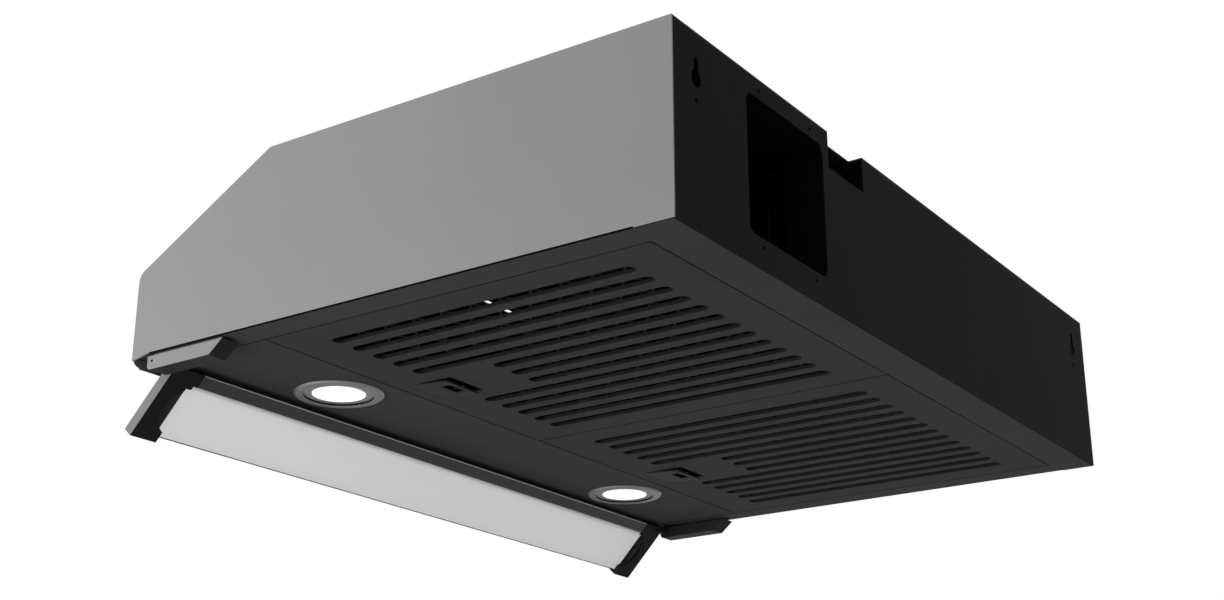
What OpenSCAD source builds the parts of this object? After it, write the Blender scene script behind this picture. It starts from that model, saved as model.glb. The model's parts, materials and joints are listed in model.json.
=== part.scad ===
// Built-in range hood: a sheet-metal canopy with two slotted grease filters, two round lamps,
// a glass visor that folds down at the front, and a centrifugal blower that exhausts at the rear.
// The rear face lies on y = 0 and the front looks along -Y. The origin is midway between the
// seats of the two hanging keyholes, on the rear face.

/* [Canopy] */
// Overall width across the two end panels
hood_w = 600; // [560:5:900]
// Depth from the wall to the upright front
hood_d = 401; // [380:1:460]
// Height of the rear face
hood_h = 116; // [112:1:150]
// Thickness of the painted steel sheet
sheet_t = 1; // [0.8:0.1:1.2]
// Depth of the flat top, from the wall to the bend
top_d = 292; // [270:1:320]
// Height of the upright front above the underside
front_h = 55; // [50:1:70]
// Outer radius of the bend between slope and front
front_bend_r = 9; // [6:1:14]
// How far the front lip hangs below the underside
lip_h = 6; // [4:0.5:8]
// Radius of the lip's lower corners
lip_corner_r = 5; // [3:0.5:6]
// Width of the inward flanges of the end panels
flange_w = 10; // [8:1:14]
// Height by which the end panels stop short of the underside
edge_raise = 0.8; // [0.4:0.1:1]
// Length at the rear where the end panels reach the underside
rear_heel = 25; // [15:1:40]

/* [Rear panel] */
// Width of the rectangular rear outlet
outlet_w = 90; // [84:1:96]
// Height of the rear outlet
outlet_h = 85; // [78:1:86]
// Distance of the outlet's centre from the middle of the hood
outlet_x = 178; // [172:1:184]
// Height of the outlet's lower edge
outlet_low = 18.5; // [17.5:0.5:20]
// Corner radius of the outlet
outlet_r = 6; // [3:1:10]
// Spacing of the outlet's screw holes across
outlet_screw_w = 60; // [50:1:70]
// Spacing of the outlet's screw holes up and down
outlet_screw_h = 95.5; // [95:0.5:98]
// Diameter of the outlet's screw holes
outlet_screw_d = 2.6; // [2:0.1:3.2]
// Distance of each keyhole from the side of the hood
keyhole_side = 24; // [24:1:38]
// Height of the keyhole seats above the underside
hang_h = 98.3; // [94:0.1:100]
// Width of the keyhole slots
keyhole_slot_w = 4.8; // [4:0.2:6]
// Diameter of the keyhole heads
keyhole_head_d = 10; // [9:0.5:12]
// Drop from the keyhole seat to the centre of the head
keyhole_drop = 10.5; // [9:0.5:13]
// Drop from the keyhole seat to the lock screw hole
lock_drop = 23.5; // [21:0.5:28]
// Diameter of the lock screw holes
lock_d = 3; // [2.6:0.1:4]
// Distance of the cable notch from the middle of the hood
notch_x = 102.5; // [100:0.5:104]
// Width of the cable notch
notch_w = 46; // [40:1:46]
// Height of the notch in the rear panel
notch_h = 24; // [18:1:26]
// Depth of the notch in the top
notch_d = 9.3; // [7:0.1:12]

/* [Underside] */
// Width of the side rails
rail_w = 21; // [19:0.5:26]
// Width of the rear rail
rear_rail_w = 27.5; // [25:0.5:32]
// Width of the seams round filters and light panel
seam = 0.6; // [0.4:0.1:0.8]
// Height of the upturned lips round the opening
lip_up = 6; // [5:0.5:7]
// Depth of each filter from rear to front
filter_d = 279; // [270:1:288]
// Height of the filter trays
filter_h = 11; // [10:0.5:12]
// Number of slots in each filter
slot_n = 13; // [11:2:15]
// Width of the filter slots
slot_w = 9.6; // [8:0.2:10]
// Height of the turned-in slot edges
slot_collar = 2.6; // [2:0.1:3.5]
// Distance from the filter's side to its first slot's centre
slot_side = 27; // [24:1:30]
// Distance from the filter's rear to the slots
slot_rear = 28; // [24:1:34]
// Distance from the filter's front to the slots
slot_front = 31; // [28:1:36]
// How much shorter the slots behind the latch are
slot_cut = 51; // [50:1:60]
// Number of slots shortened behind the latch
slot_short_n = 3; // [1:2:5]
// Width of the latch grip
grip_w = 33; // [24:1:34]
// Length of the latch grip
grip_len = 32; // [28:1:34]
// Distance from the filter's front to the grip
grip_front = 9; // [8:0.5:12]
// How far the grip's rear end stands proud
grip_drop = 2.6; // [2:0.1:3]
// Travel of the latch
latch_travel = 6; // [5:0.5:7]

/* [Lamps] */
// Distance of each lamp from the middle of the hood
lamp_x = 170; // [140:1:190]
// Distance of the lamps from the rear face
lamp_y = 347; // [345:1:352]
// Outer diameter of the lamp rings
lamp_ring_d = 60.5; // [56:0.5:64]
// Diameter of the white lens
lamp_lens_d = 35.5; // [30:0.5:40]
// Radius of the step inside each lamp ring
lamp_step_r = 23.3; // [21:0.1:25]
// How far the ring stands below the light panel
lamp_ring_t = 1.6; // [1.2:0.1:2]
// Diameter of the hole for each lamp
lamp_hole_d = 54; // [50:1:54]
// Height of the lamp body above the light panel
lamp_body_h = 24; // [18:1:30]

/* [Visor] */
// Angle by which the visor turns from closed to open
visor_turn = 134; // [120:1:135]
// Length of the visor from hinge edge to free edge
visor_len = 53.8; // [48:0.2:56]
// Thickness of the visor
visor_t = 7.4; // [7:0.1:8]
// Distance of the visor hinge from the rear face
hinge_y = 383; // [381:0.5:386]
// Drop of the visor hinge below the underside
hinge_drop = 5; // [4.8:0.1:5.4]
// Diameter of the hinge pins
pin_d = 3; // [2.6:0.1:3.4]
// Running clearance of the pins, on the radius
pin_fit = 0.05; // [0.03:0.01:0.08]
// Width of the visor arms
arm_w = 17.3; // [16:0.1:20]
// Width of the arm's foot and head over the glass
arm_overlap = 4; // [2.5:0.1:4.4]
// Radius of the scoop in each arm
scoop_r = 18.4; // [17:0.2:20]
// Width of the scoop in each arm
scoop_w = 7.1; // [6:0.1:8]
// Thickness of the visor glass
glass_t = 4; // [3:0.1:4.4]
// Width of the rail's back along the hinge edge
rail_h = 9.4; // [7:0.2:10]
// Width of the cheeks
cheek_w = 13.8; // [12:0.2:16]
// Length of the cheeks along the underside
cheek_len = 65; // [62:1:70]
// Height of the cheeks
cheek_h = 8.8; // [8.4:0.1:10]
// Height of the shadow gap over the cheeks
cheek_gap = 1.7; // [1.2:0.1:2]

/* [Blower] */
// Distance of the impeller's axis from the middle of the hood
blower_x = 97; // [94:1:99]
// Gap between the scroll and the rear panel
rear_gap = 15.5; // [14.5:0.5:22]
// Outer radius of the impeller
impeller_r = 72; // [66:1:73]
// Number of impeller blades
blade_n = 36; // [24:1:42]
// Depth of the blades along the radius
blade_depth = 11; // [9:1:13]
// Thickness of the blades
blade_t = 0.9; // [0.7:0.1:1.2]
// Inner radius of the scroll at the cut-off
scroll_r = 79; // [78:1:82]
// Wall of the scroll
scroll_t = 1.5; // [1.2:0.1:2]
// Radius of the round inlet
inlet_r = 56; // [50:1:57]
// Radius of the motor
motor_r = 36; // [32:1:37]
// Height of the motor
motor_h = 46; // [40:1:48]
// Radius of the motor shaft
shaft_r = 3; // [2.5:0.1:4]

/* [Controls] */
// Width of the control bezel on the slope
bezel_w = 118; // [112:1:130]
// Height of the control bezel along the slope
bezel_h = 34; // [30:1:38]
// Distance from the top bend to the bezel along the slope
bezel_drop = 40; // [38:1:46]
// Thickness of the bezel outside the slope
bezel_t = 2; // [1.5:0.1:3]
// Diameter of the push buttons
button_d = 12; // [10:0.5:14]
// Spacing of the push buttons
button_pitch = 20; // [18:1:22]
// Travel of the push buttons
button_travel = 2; // [1.5:0.1:2.5]

/* [Hidden] */
$fn = 64;

// One overrun serves every cut, and one fit every pair of fixed pieces
over = 2;
fit = 0.2;
run_gap = 0.3;
fine_fn = 24;

// Sloping front
slope_a = atan2(hood_h - front_h, hood_d - top_d);
bend_a = 90 - slope_a;
inner_w = hood_w - 2 * sheet_t;
bend_tangent = front_bend_r * tan(bend_a / 2);
bend_step_n = 6;
keyhole_x = hood_w / 2 - keyhole_side;

// Underside
opening_w = hood_w - 2 * rail_w;
filter_w = (opening_w - 3 * seam) / 2;
filter_x = (filter_w + seam) / 2;
filter_rear = rear_rail_w + seam;
filter_front = filter_rear + filter_d;
panel_rear = filter_front + seam;
slot_pitch = (filter_w - 2 * slot_side) / (slot_n - 1);
slot_len = filter_d - slot_rear - slot_front;
tray_corner = 2;
mesh_t = 1;
mesh_low = 7.4;
mesh_border = 7;
mesh_strand = 1.3;
mesh_across_n = 9;
mesh_along_n = 12;
tab_w = 40;
tab_reach = 3;
tab_side = 50;
grip_t = 1.2;
grip_hole_w = 17;
grip_hole_len = 8.6;
grip_hole_end = 3.4;
neck_len = 7;
tongue_w = 20;
tongue_t = 1.8;
tongue_reach = 5.4;
guide_w = 3;
guide_h = 4;
guide_len = 24;
spring_r = 1.7;
spring_wire_r = 0.35;
spring_turns = 5;
spring_len = 12;
spring_side = 5.5;
spring_ring_n = 8;
spring_side_n = 6;

// Lamps
lamp_flange_w = 2.4;
lamp_step_low = 0.4;
lamp_recess = 0.6;
lamp_bezel_slope = 0.7;
lamp_body_wall = 1.5;
lamp_lens_t = 2;
lamp_fin_t = 1.4;
lamp_fin_n = 7;
lamp_clip_w = 8;
lamp_clip_shares = [0.25, 0.75];
lamp_clip_reach = 4;

// Visor, drawn closed and then turned open about its hinge
cheek_inset = 0.5;
back_over = 0.7;
hinge_edge = 1.8;
arm_gap = 4.4;
rebate = visor_t - glass_t;
arm_out = hood_w / 2 - cheek_inset - cheek_w - arm_gap;
arm_in = arm_out - arm_w;
arm_head = 12.3;
arm_foot = 10.4;
head_more = 3.4;
head_round = 3.4;
glass_short = 2;
knuckle_r = 3.5;
knuckle_w = 6;
rail_web = 1.2;
edge_soft = 0.6;
scoop_low = sqrt(pow(scoop_r, 2) - pow(scoop_r - scoop_w, 2));

// Cheeks
cheek_nose = 4;
cheek_front = hinge_y + cheek_nose;
cheek_slant = 10.6;
cheek_corner_r = 2.6;
cheek_wall = 2.4;
cheek_pad_inset = 2.5;
pin_head_r = 0.9;
pin_reach = 6;
cheek_screw_r = 1.5;
cheek_screw_head_r = 3;
cheek_screw_head_h = 2;
cheek_screw_gap = 36;
cheek_screw_bite = 7;

// Blower
outlet_back = sheet_t;
blower_y = outlet_back + rear_gap + scroll_t + scroll_r;
scroll_end = outlet_x + outlet_w / 2 - blower_x;
scroll_cut_a = acos((outlet_x - outlet_w / 2 - blower_x) / scroll_r);
scroll_step_n = 40;
flange_t = 2;
outlet_flange = 3;
scroll_low = outlet_low - scroll_t;
scroll_top = outlet_low + outlet_h;
bell_h = 7;
bell_t = 1.5;
bell_gap = 2;
ring_low = outlet_low + bell_h + bell_gap;
ring_t = 3;
drum_gap = 9;
blade_top = scroll_top - drum_gap;
curl_share = 0.62;
curl_cut_share = 0.9;
plate_t = 1.6;
dish_side = 5;
dish_r = motor_r + dish_side;
dish_gap = 4;
dish_low = scroll_top - motor_h - dish_gap - plate_t;
hub_r = 9;
hub_h = 14;
nut_r = 6;
nut_h = 4;
shaft_low = dish_low - hub_h - nut_h;
bearing_r = 7;
bearing_h = 6;
cover_hole_r = 9;
shaft_fit = 0.05;
stud_r = 2;
stud_ring_r = 26;
stud_n = 3;
grommet_r = 5;
grommet_neck_r = 3.8;
grommet_t = 2;
motor_low_share = 0.7;
motor_rim_share = 0.94;
motor_vent_share = 0.5;
motor_vent_n = 6;
motor_nut_r = 3.6;
motor_nut_h = 2.4;
guard_t = 1.6;
guard_rib = 2;
guard_ring_n = 4;
guard_spoke_n = 6;
guard_lap = 7;
guard_rim_r = inlet_r + guard_lap;
guard_hub_r = 9;
post_r = 6;
post_hole_r = 1.6;
screw_r = 1.5;
screw_head_r = 3.6;
screw_head_h = 1.8;
screw_crown_share = 0.8;
screw_bite = 8;
post_shares = [[-0.75, -0.2], [0.1, 0.86], [0.55, -0.86], [0.98, 0.1]];

// Controls
bezel_r = 4;
bezel_lip = 3;
bezel_body_h = 9;
bezel_wall = 1.6;
button_proud = 1.8;
button_fit = 0.3;
stem_r = 2;
button_skirt = 3;
button_skirt_t = 1;
board_t = 1.6;
switch_w = 6;
switch_h = 3.2;
button_n = 5;
vent_w = 100;
vent_h = 2.4;
vent_gap = 2.6;

// Electrics
box_w = 120;
box_h = 34;
box_wall = 1.8;
box_side = 100;
box_x = hood_w / 2 - box_side;
box_rear = 15;
box_lid_t = 2;
box_gap = 4.8;
boss_r = 3.5;
boss_in = boss_r + box_wall / 2;
cap_r = 15;
cap_len = 58;
cap_end = 3;
cap_end_r = 12;
term_w = 27;
term_d = 18;
term_h = 14;
term_hole_r = 2.2;
box_d = 2 * cap_r + term_d + 3 * box_gap + 2 * box_wall;
box_y = box_rear + box_d / 2;
cap_y = box_rear + box_d - box_wall - box_gap - cap_r;
term_y = box_rear + box_wall + box_gap + term_d / 2;
gland_r = 8;
gland_len = 10;
gland_nut_h = 4;
gland_neck_r = 6;
gland_thread_r = 5.6;
gland_hole_r = 3.6;
wire_r = 1.6;
wire_lift = 4;
control_lead_x = 50;

board_down = bezel_drop + bezel_h / 2;
board_y = top_d + board_down * cos(slope_a) - (bezel_body_h + wire_r) * sin(slope_a);
board_z = hood_h - board_down * sin(slope_a) - (bezel_body_h + wire_r) * cos(slope_a);
button_seats = [for (i = [0:button_n - 1]) (i - (button_n - 1) / 2) * button_pitch];

// Puts a piece drawn from the underside's level into the frame of the hanging holes
module hung() translate([0, 0, -hang_h]) children();

// The right-hand piece as drawn, or its mirror image on the left
module sided(side) mirror([side < 0 ? 1 : 0, 0, 0]) children();

// Extrudes an outline given as (y, z) across the width, from x = a to x = b
module across(a, b) {
    translate([a, 0, 0]) rotate([90, 0, 90]) linear_extrude(b - a) children();
}

// A block between two corners
module block(low, high) translate(low) cube(high - low);

// A slot outline along Y with round ends
module stadium(w, len) {
    square([w, len - w], center = true);
    for (s = [-1, 1]) translate([0, s * (len - w) / 2]) circle(d = w, $fn = fine_fn);
}

// A rectangle with round corners
module soft_rect(w, h, r) {
    square([w - 2 * r, h], center = true);
    square([w, h - 2 * r], center = true);
    for (a = [-1, 1], b = [-1, 1]) translate([a * (w / 2 - r), b * (h / 2 - r)]) circle(r, $fn = fine_fn);
}

// A diamond with half-diagonals a and b
module diamond(a, b) polygon([[a, 0], [0, b], [-a, 0], [0, -b]]);

// A round rod between two points, with a ball at its start
module rod(a, b, r) {
    run = b - a;
    len = norm(run);
    translate(a) {
        sphere(r, $fn = fine_fn);
        rotate([0, acos(run[2] / len), atan2(run[1], run[0])]) cylinder(h = len, r = r, $fn = fine_fn);
    }
}

// A lead that runs through a list of points
module lead(points, r) {
    for (i = [0:len(points) - 2]) rod(points[i], points[i + 1], r);
    translate(points[len(points) - 1]) sphere(r, $fn = fine_fn);
}

// Outline of the hood in (y, z), moved inwards by t, and cut off level at z = low
function hood_side(t, low) = concat(
    [[-t, low], [-t, hood_h - t], [-top_d + t * tan(slope_a / 2), hood_h - t]],
    [for (i = [0:bend_step_n]) let (a = 90 + slope_a + i * bend_a / bend_step_n)
        [-hood_d + front_bend_r + (front_bend_r - t) * cos(a),
         front_h - bend_tangent + (front_bend_r - t) * sin(a)]],
    [[-hood_d + t, low]]);

// Places a piece on the sloping front: its +Z points out of the slope, its +Y up the slope,
// and its origin lies a distance down the slope from the top bend
module on_slope(down) {
    translate([0, -top_d - down * cos(slope_a), hood_h - down * sin(slope_a)])
        rotate([slope_a, 0, 0]) children();
}

// Top, slope and upright front, folded from one sheet
module canopy_shell() hung() color("#2b2b2d") difference() {
    union() {
        across(-inner_w / 2, inner_w / 2) difference() {
            polygon(hood_side(0, 0));
            polygon(hood_side(sheet_t, -over));
            translate([-sheet_t, -over]) square([sheet_t + over, hood_h - sheet_t + over]);
        }
        // Front lip with rounded lower corners
        translate([0, -hood_d + sheet_t, 0]) rotate([90, 0, 0]) linear_extrude(sheet_t) {
            translate([0, -lip_h / 2]) square([inner_w - 2 * lip_corner_r, lip_h], center = true);
            for (s = [-1, 1]) translate([s * (inner_w / 2 - lip_corner_r), 0]) intersection() {
                circle(lip_corner_r, $fn = fine_fn);
                translate([-lip_corner_r, -lip_h]) square([2 * lip_corner_r, lip_h]);
            }
        }
    }
    // Cable notch at the rear edge
    block([notch_x - notch_w / 2, -notch_d, hood_h - notch_h], [notch_x + notch_w / 2, over,
        hood_h + over]);
    // Window for the controls and the narrow vent above it
    on_slope(bezel_drop + bezel_h / 2) translate([0, 0, -over]) linear_extrude(2 * over)
        soft_rect(bezel_w - 2 * bezel_lip, bezel_h - 2 * bezel_lip, bezel_r);
    on_slope(bezel_drop - vent_gap - vent_h / 2) translate([0, 0, -over]) rotate([0, 0, 90])
        linear_extrude(2 * over) stadium(vent_h, vent_w);
    // Screw holes for the blower
    for (p = blower_posts()) translate([p[0], p[1], hood_h - sheet_t - over])
        cylinder(r = screw_r + fit, h = sheet_t + 2 * over, $fn = fine_fn);
}

// An end panel with its inward flanges
module end_panel(side) hung() sided(side) color("#a3a3a6") difference() {
    union() {
        across(inner_w / 2, hood_w / 2) polygon(hood_side(0, edge_raise));
        across(inner_w / 2, hood_w / 2) translate([-rear_heel, 0]) square([rear_heel, 2 * edge_raise]);
        across(inner_w / 2 - flange_w, inner_w / 2) difference() {
            polygon(hood_side(sheet_t, sheet_t + fit));
            polygon(hood_side(2 * sheet_t, 2 * sheet_t + fit));
        }
    }
    for (p = cheek_screw_seats()) translate([p[0], p[1], 0])
        cylinder(r = cheek_screw_r + fit, h = 4 * sheet_t, $fn = fine_fn);
    // The top flange stops short of the rear corner, and the rear flange clears the keyhole
    block([inner_w / 2 - flange_w - over, -2 * sheet_t - over, hang_h - lock_drop - keyhole_head_d],
        [inner_w / 2, 0, hood_h]);
}

module left_end_panel() end_panel(-1);
module right_end_panel() end_panel(1);

// Rear panel with the duct outlet, the hanging keyholes and the cable notch
module back_panel() hung() color("#1e1e20") translate([0, 0, 0]) rotate([90, 0, 0])
    linear_extrude(sheet_t) difference() {
        translate([-inner_w / 2, 0]) square([inner_w, hood_h - sheet_t]);
        translate([outlet_x, outlet_low + outlet_h / 2]) {
            soft_rect(outlet_w, outlet_h, outlet_r);
            for (a = [-1, 1], b = [-1, 1])
                translate([a * outlet_screw_w / 2, b * outlet_screw_h / 2])
                    circle(d = outlet_screw_d, $fn = fine_fn);
        }
        for (s = [-1, 1]) translate([s * keyhole_x, hang_h]) {
            circle(d = keyhole_slot_w, $fn = fine_fn);
            translate([-keyhole_slot_w / 2, -keyhole_drop]) square([keyhole_slot_w, keyhole_drop]);
            translate([0, -keyhole_drop]) circle(d = keyhole_head_d, $fn = fine_fn);
            translate([0, -lock_drop]) circle(d = lock_d, $fn = fine_fn);
        }
        translate([notch_x - notch_w / 2, hood_h - notch_h]) square([notch_w, notch_h]);
    }

// Folded frame round the filter opening: two side rails and the rear rail, each with an upturned lip
module underside_frame() hung() color("#303033") {
    difference() {
        block([-inner_w / 2, -hood_d + sheet_t + fit, 0], [inner_w / 2, -sheet_t, sheet_t]);
        block([-opening_w / 2, -hood_d - over, -over], [opening_w / 2, -rear_rail_w, sheet_t + over]);
        for (s = [-1, 1], p = cheek_screw_seats()) translate([s * p[0], p[1], -over])
            cylinder(r = cheek_screw_r + fit, h = sheet_t + 2 * over, $fn = fine_fn);
    }
    for (s = [-1, 1]) sided(s)
        block([opening_w / 2, -hood_d + sheet_t + fit, 0], [opening_w / 2 + sheet_t, -rear_rail_w,
            lip_up]);
    block([-opening_w / 2 - sheet_t, -rear_rail_w, 0],
        [opening_w / 2 + sheet_t, -rear_rail_w + sheet_t, lip_up]);
}

// Panel in front of the filters, with the two lamp holes and a ledge for the latches
module light_panel() hung() color("#313134") {
    half = opening_w / 2 - seam;
    front = hood_d - sheet_t - fit;
    difference() {
        block([-half, -front, 0], [half, -panel_rear, sheet_t]);
        for (s = [-1, 1]) translate([s * lamp_x, -lamp_y, -over])
            cylinder(d = lamp_hole_d, h = sheet_t + 2 * over);
    }
    block([-half, -panel_rear - sheet_t, 0], [half, -panel_rear, lip_up]);
    block([-half, -front, 0], [half, -front + sheet_t, lip_up]);
    for (s = [-1, 1]) sided(s) block([half - sheet_t, -front, 0], [half, -panel_rear, lip_up]);
}

// Turned metal ring with a stepped inner edge
module lamp_ring(side) hung() color("#8c8c90") translate([side * lamp_x, -lamp_y, 0]) rotate_extrude() {
    inner = lamp_lens_d / 2 + fit;
    outer = lamp_ring_d / 2;
    neck = lamp_hole_d / 2 - fit;
    polygon([
        [inner, sheet_t + 2 * fit], [inner, -lamp_step_low], [lamp_step_r, -lamp_step_low],
        [lamp_step_r, -lamp_ring_t], [outer - 2 * lamp_bezel_slope, -lamp_ring_t],
        [outer, -lamp_bezel_slope / 2],
        [outer, 0], [neck, 0], [neck, sheet_t + 2 * fit]]);
}

module left_lamp_ring() lamp_ring(-1);
module right_lamp_ring() lamp_ring(1);

// White diffuser, a shallow dome with a rim that sits in the lamp body
module lamp_lens(side) hung() color("white") translate([side * lamp_x, -lamp_y, 0]) {
    rim = lamp_lens_d / 2;
    translate([0, 0, -lamp_recess]) cylinder(r = rim, h = lamp_lens_t);
    translate([0, 0, lamp_lens_t - lamp_recess]) cylinder(r = rim + lamp_flange_w - fit, h = sheet_t);
}

module left_lamp_lens() lamp_lens(-1);
module right_lamp_lens() lamp_lens(1);

// Die-cast lamp body: a cup with cooling fins on its back and two spring clips
module lamp_body(side) hung() color("#4a4a4d") translate([side * lamp_x, -lamp_y, 0]) {
    r = lamp_hole_d / 2 - fit;
    low = sheet_t + 3 * fit;
    seat = lamp_lens_t - lamp_recess + sheet_t;
    cup = lamp_body_h / 2;
    difference() {
        translate([0, 0, low]) cylinder(r = r, h = cup - low);
        translate([0, 0, low - over]) cylinder(r = lamp_lens_d / 2 + lamp_flange_w,
            h = over + seat - low);
        translate([0, 0, seat - fit]) cylinder(r = lamp_lens_d / 2, h = cup - seat - lamp_body_wall);
    }
    intersection() {
        translate([0, 0, cup]) cylinder(r = r - lamp_body_wall, h = lamp_body_h - cup);
        for (i = [0:lamp_fin_n - 1])
            translate([(i - (lamp_fin_n - 1) / 2) * 2 * r / lamp_fin_n - lamp_fin_t / 2, -r, cup])
                cube([lamp_fin_t, 2 * r, lamp_body_h - cup]);
    }
    for (s = [-1, 1]) sided(s) translate([r - fit, -lamp_clip_w / 2, low])
        rotate([90, 0, 90]) linear_extrude(lamp_clip_reach)
            polygon([[0, 0], [lamp_clip_w, 0], [lamp_clip_w * lamp_clip_shares[1], cup / 2],
                [lamp_clip_w * lamp_clip_shares[0], cup / 2]]);
}

module left_lamp_body() lamp_body(-1);
module right_lamp_body() lamp_body(1);

// Outline of a cheek in (y, z), moved inwards by t
module cheek_outline(t) {
    low = -cheek_gap - cheek_h;
    rear = cheek_front - cheek_len;
    polygon([
        [-cheek_front + t, -cheek_gap], [-rear - t, -cheek_gap],
        [-rear - cheek_slant - t / 2, low + t], [-cheek_front + cheek_corner_r, low + t],
        [-cheek_front + cheek_corner_r, low + cheek_corner_r], [-cheek_front + t, low + cheek_corner_r]]);
    if (t == 0) translate([-cheek_front + cheek_corner_r, low + cheek_corner_r])
        circle(cheek_corner_r, $fn = fine_fn);
}

function cheek_screw_seats() = [for (s = [-1, 1])
    [hood_w / 2 - cheek_inset - cheek_w / 2,
     -cheek_front + cheek_len / 2 - cheek_slant / 4 + s * cheek_screw_gap / 2]];

// Moulded cheek that carries a visor pin, with a pad that leaves a shadow gap under the end panel
module cheek(side) hung() sided(side) color("#9c9c9f") {
    out = hood_w / 2 - cheek_inset;
    in = out - cheek_w;
    difference() {
        union() {
            across(in, out) cheek_outline(0);
            block([in + cheek_pad_inset, -cheek_front + cheek_pad_inset, -cheek_gap],
                [out - cheek_pad_inset, -cheek_front + cheek_len - cheek_pad_inset, 0]);
        }
        // Pin hole, open as a small dot on the outer face
        translate([in - over, -hinge_y, -hinge_drop]) rotate([0, 90, 0])
            cylinder(r = pin_d / 2, h = over + cheek_w - cheek_wall, $fn = fine_fn);
        translate([in, -hinge_y, -hinge_drop]) rotate([0, 90, 0])
            cylinder(r = pin_head_r, h = cheek_w + over, $fn = fine_fn);
        for (p = cheek_screw_seats()) translate([p[0], p[1], -cheek_screw_bite])
            cylinder(r = cheek_screw_r, h = cheek_screw_bite + over, $fn = fine_fn);
    }
}

module left_cheek() cheek(-1);
module right_cheek() cheek(1);

// Hinge pins, pressed into the cheeks and standing out into the visor arms
module visor_pins() hung() color("silver") for (s = [-1, 1]) sided(s)
    translate([arm_out - pin_reach, -hinge_y, -hinge_drop]) rotate([0, 90, 0])
        cylinder(r = pin_d / 2, h = hood_w / 2 - cheek_inset - cheek_wall - arm_out + pin_reach,
            $fn = fine_fn);

// Screws that hold the cheeks from inside the canopy
module cheek_screws() hung() color("silver") for (s = [-1, 1], p = cheek_screw_seats())
    translate([s * p[0], p[1], 0]) {
        translate([0, 0, -cheek_screw_bite + fit])
            cylinder(r = cheek_screw_r - fit / 4, h = cheek_screw_bite + 2 * sheet_t, $fn = fine_fn);
        translate([0, 0, 2 * sheet_t + fit])
            cylinder(r = cheek_screw_head_r, h = cheek_screw_head_h, $fn = fine_fn);
    }

// Turns a piece, drawn closed with its hinge at the origin, into the open visor
module visor_open() hung() translate([0, -hinge_y, -hinge_drop]) rotate([-visor_turn, 0, 0]) children();

visor_edge = -hinge_edge;
visor_end = visor_edge + visor_len;
visor_back = back_over;
visor_face = back_over - visor_t;

// Round front edge of the visor in (y, z), from its back to its face
function edge_arc() = [for (i = [0:bend_step_n]) let (a = 180 + 90 * i / bend_step_n)
    [visor_edge + head_round * (1 + cos(a)), visor_face + head_round * (1 + sin(a))]];

// Back rail of the visor: an L-section that the glass is bonded into
module visor_rail() visor_open() color("#38383a") {
    half = arm_in - arm_overlap - head_more - fit;
    across(-half, half) polygon(concat(edge_arc(), [
        [visor_edge + head_round + rail_web / 2, visor_face],
        [visor_edge + head_round + rail_web / 2, visor_face + glass_t + fit],
        [visor_edge + rail_h, visor_face + glass_t + fit], [visor_edge + rail_h, visor_back],
        [visor_edge + edge_soft, visor_back], [visor_edge, visor_back - edge_soft]]));
}

// Frosted glass, flush with the front of the arms
module visor_glass() visor_open() color("#d4d6d8", 0.6) {
    start = visor_edge + head_round + rail_web / 2 + fit;
    block([-arm_in + fit, start, visor_face], [arm_in - fit, visor_end - glass_short,
        visor_face + glass_t]);
}

// Visor arm: full depth outside the glass, head and foot lapping over it, and a round scoop
module visor_arm(side) visor_open() sided(side) color("#232325") {
    lap_low = visor_face + glass_t + fit;
    lap = arm_in - arm_overlap;
    difference() {
        union() {
            across(arm_in, arm_out) polygon(concat(edge_arc(), [
                [visor_end - edge_soft, visor_face], [visor_end, visor_face + edge_soft],
                [visor_end, visor_back], [visor_edge, visor_back]]));
            across(lap - head_more, arm_in) polygon(concat(edge_arc(), [
                [visor_edge + head_round + rail_web / 2, visor_face],
                [visor_edge + head_round + rail_web / 2, visor_back], [visor_edge, visor_back]]));
            block([lap - head_more, visor_edge + head_round, lap_low], [arm_in, visor_edge + rail_h,
                visor_back]);
            block([lap, visor_edge + head_round, lap_low], [arm_in, visor_edge + arm_head, visor_back]);
            block([lap, visor_end - arm_foot, lap_low], [arm_in, visor_end, visor_back]);
            block([lap, visor_end - glass_short + fit, visor_face], [arm_in, visor_end, visor_back]);
            translate([arm_out - knuckle_w, 0, 0]) rotate([0, 90, 0])
                cylinder(r = knuckle_r, h = knuckle_w + arm_gap - run_gap, $fn = 2 * fine_fn);
        }
        // Round scoop, down to the level of the glass
        translate([arm_in + scoop_w - scoop_r, visor_end - arm_foot - scoop_low, visor_back - rebate])
            cylinder(r = scoop_r, h = rebate + over, $fn = 2 * $fn);
        // Hinge bore
        translate([arm_out - pin_reach - run_gap, 0, 0]) rotate([0, 90, 0])
            cylinder(r = pin_d / 2 + pin_fit, h = pin_reach + run_gap + arm_gap + over, $fn = fine_fn);
    }
}

module left_visor_arm() visor_arm(-1);
module right_visor_arm() visor_arm(1);

// Seats of the slots in a filter, from its centre, with the length and shift of each
function slot_shift(i) = abs(i - (slot_n - 1) / 2) < slot_short_n / 2 ? slot_cut : 0;
function slot_x(i) = (i - (slot_n - 1) / 2) * slot_pitch;
filter_mid = filter_rear + slot_rear + slot_len / 2;

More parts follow.
